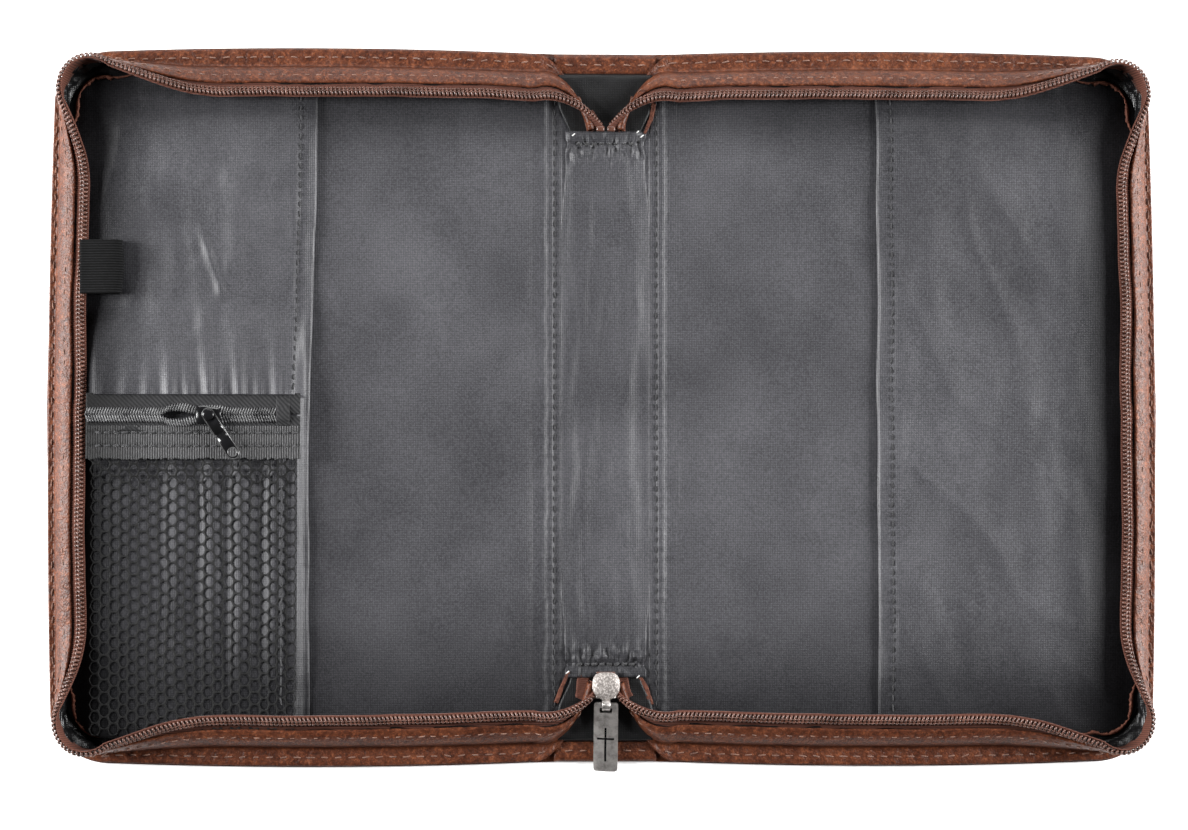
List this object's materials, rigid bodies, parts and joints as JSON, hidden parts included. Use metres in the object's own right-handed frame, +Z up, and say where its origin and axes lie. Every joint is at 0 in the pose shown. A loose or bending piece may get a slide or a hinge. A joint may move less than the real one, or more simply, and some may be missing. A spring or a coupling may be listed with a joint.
{
  "type": "zip-around bible cover",
  "caption": "Zip-around brown book cover opened flat: padded covers folding about a spine, inner sleeves, mesh pocket, pen loop and a coil zip with a metal pull.",
  "frame": {"origin": "middle of the spine's outer leather face, which lies on the table", "axes": "+X from the spine to the back cover, +Y along the spine away from the main slider, +Z up out of the lining"},
  "size_m": [0.393, 0.2556, 0.0189],
  "materials": {
    "leather": "brown leather-look, smooth pebble grain, semi-gloss",
    "leather_edge": "dark brown raw and turned leather edges",
    "board": "grey chipboard, hidden",
    "foam": "soft white foam, hidden",
    "black_fabric": "black woven nylon",
    "grey_nylon": "dark grey woven nylon lining with a soft sheen",
    "grey_thread": "dark grey sewing thread",
    "thread": "tan sewing thread",
    "zip_tape": "brown woven zip tape",
    "zip_coil": "brown nylon zip coil",
    "elastic": "black ribbed elastic",
    "mesh": "black hexagonal net",
    "black_webbing": "black ribbed grosgrain",
    "black_coil": "black nylon zip coil",
    "antique_silver": "antique silver die-cast metal, pebbled cap",
    "black_enamel": "black enamelled metal"
  },
  "bodies": {
    "spine": {"spine_skin": "leather", "spine_hems": "leather_edge", "spine_board": "board", "spine_foam": "foam", "spine_lining": "grey_nylon", "spine_strip": "black_fabric", "spine_strip_tacks": "grey_thread", "spine_end_linings": "black_fabric", "front_hinge_crease": "leather_edge", "back_hinge_crease": "leather_edge", "zip_tape_ends": "zip_tape", "zip_stops": "zip_coil"},
    "front_cover": {"front_skin": "leather", "front_board": "board", "front_foam": "foam", "front_lining": "grey_nylon", "front_gusset": "leather", "front_gusset_lining": "black_fabric", "front_seam_edges": "leather_edge", "front_zip_tape": "zip_tape", "front_zip_coil": "zip_coil", "front_stitches": "thread", "front_hinge_lining": "grey_nylon", "front_tail_top": "zip_coil", "front_tail_bottom": "zip_coil", "front_sleeve": "grey_nylon", "front_sleeve_seam": "grey_nylon", "front_sleeve_stitches": "grey_thread", "pen_loop": "elastic", "pocket_mesh": "mesh", "pocket_tape_upper": "black_webbing", "pocket_tape_lower": "black_webbing", "pocket_coil_upper": "black_coil", "pocket_coil_lower": "black_coil", "pocket_band": "black_webbing", "pocket_band_stitches": "black_webbing", "pocket_end_tab": "black_coil"},
    "back_cover": {"back_skin": "leather", "back_board": "board", "back_foam": "foam", "back_lining": "grey_nylon", "back_gusset": "leather", "back_gusset_lining": "black_fabric", "back_seam_edges": "leather_edge", "back_zip_tape": "zip_tape", "back_zip_coil": "zip_coil", "back_stitches": "thread", "back_hinge_lining": "grey_nylon", "back_tail_top": "zip_coil", "back_tail_bottom": "zip_coil", "back_sleeve": "grey_nylon", "back_sleeve_seam": "grey_nylon", "back_sleeve_stitches": "grey_thread"},
    "zip_slider": {"zip_slider_body": "antique_silver", "zip_slider_cap": "antique_silver"},
    "zip_pull": {"zip_pull_tab": "antique_silver"},
    "pocket_slider": {"pocket_slider_body": "black_enamel"},
    "pocket_pull": {"pocket_pull": "black_enamel"}
  },
  "joints": [
    {"name": "front_fold", "type": "hinge", "parent": "spine", "child": "front_cover", "pos_m": [-0.019, 0, 0.0006], "axis": [0, 1, 0], "range_deg": [0, 90], "deforming": ["front_hinge_lining", "front_tail_top", "front_tail_bottom"]},
    {"name": "back_fold", "type": "hinge", "parent": "spine", "child": "back_cover", "pos_m": [0.019, 0, 0.0006], "axis": [0, -1, 0], "range_deg": [0, 90], "deforming": ["back_hinge_lining", "back_tail_top", "back_tail_bottom"]},
    {"name": "zip_run", "type": "slide", "parent": "spine", "child": "zip_slider", "axis": [0, -1, 0], "range_m": [0, 0.004]},
    {"name": "zip_pull_flip", "type": "hinge", "parent": "zip_slider", "child": "zip_pull", "pos_m": [0, -0.1052, 0.0096], "axis": [-1, 0, 0], "range_deg": [0, 110]},
    {"name": "pocket_run", "type": "slide", "parent": "front_cover", "child": "pocket_slider", "axis": [1, 0, 0], "range_m": [-0.038, 0.018]},
    {"name": "pocket_pull_swing", "type": "hinge", "parent": "pocket_slider", "child": "pocket_pull", "pos_m": [-0.1388, -0.004, 0.0177], "axis": [0, 0, 1], "range_deg": [-20, 130]}
  ]
}
